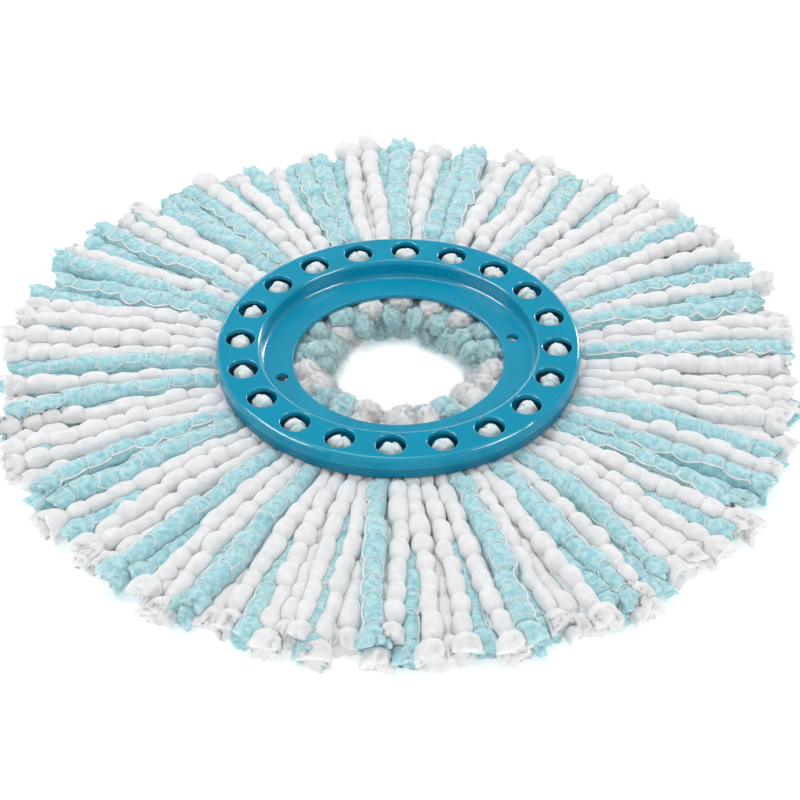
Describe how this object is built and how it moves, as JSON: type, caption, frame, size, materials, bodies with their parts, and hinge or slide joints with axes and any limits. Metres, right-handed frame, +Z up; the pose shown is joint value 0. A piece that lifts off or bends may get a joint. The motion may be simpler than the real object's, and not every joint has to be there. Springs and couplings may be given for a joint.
{
  "type": "spin mop head",
  "caption": "Round spin mop refill: a two-piece plastic ring holding bundles of chenille yarn that spread outward in a disc.",
  "frame": {"origin": "on the floor under the axis of the plastic ring, with the head lying flat, ring up", "axes": "+Z up along the ring's axis; +X to the right, +Y away from the front; one bundle stands on +X and one on +Y"},
  "size_m": [0.334, 0.334, 0.025],
  "materials": {
    "ring_plastic": "glossy moulded teal-blue",
    "carrier_plastic": "semi-gloss moulded teal-blue",
    "yarn": "soft white chenille, beaded",
    "yarn_fold": "soft white chenille, folded and fluffed",
    "aqua_yarn": "aqua chenille with a white net thread",
    "net_thread": "fine white thread"
  },
  "bodies": {
    "root": {"upper_ring": "ring_plastic", "lower_ring": "carrier_plastic", "yarn_fold_01": "yarn_fold", "yarn_fold_02": "yarn_fold", "yarn_fold_03": "yarn_fold", "yarn_fold_04": "yarn_fold", "yarn_fold_05": "yarn_fold", "yarn_fold_06": "yarn_fold", "yarn_fold_07": "yarn_fold", "yarn_fold_08": "yarn_fold", "yarn_fold_09": "yarn_fold", "yarn_fold_10": "yarn_fold", "yarn_fold_11": "yarn_fold", "yarn_fold_12": "yarn_fold", "yarn_fold_13": "yarn_fold", "yarn_fold_14": "yarn_fold", "yarn_fold_15": "yarn_fold", "yarn_fold_16": "yarn_fold", "yarn_fold_17": "yarn_fold", "yarn_fold_18": "yarn_fold", "yarn_fold_19": "yarn_fold", "yarn_fold_20": "yarn_fold", "yarn_legs_01": "yarn", "yarn_legs_02": "yarn", "yarn_legs_03": "yarn", "yarn_legs_04": "yarn", "yarn_legs_05": "yarn", "yarn_legs_06": "yarn", "yarn_legs_07": "yarn", "yarn_legs_08": "yarn", "yarn_legs_09": "yarn", "yarn_legs_10": "yarn", "yarn_legs_11": "yarn", "yarn_legs_12": "yarn", "yarn_legs_13": "yarn", "yarn_legs_14": "yarn", "yarn_legs_15": "yarn", "yarn_legs_16": "yarn", "yarn_legs_17": "yarn", "yarn_legs_18": "yarn", "yarn_legs_19": "yarn", "yarn_legs_20": "yarn"}
  },
  "joints": []
}
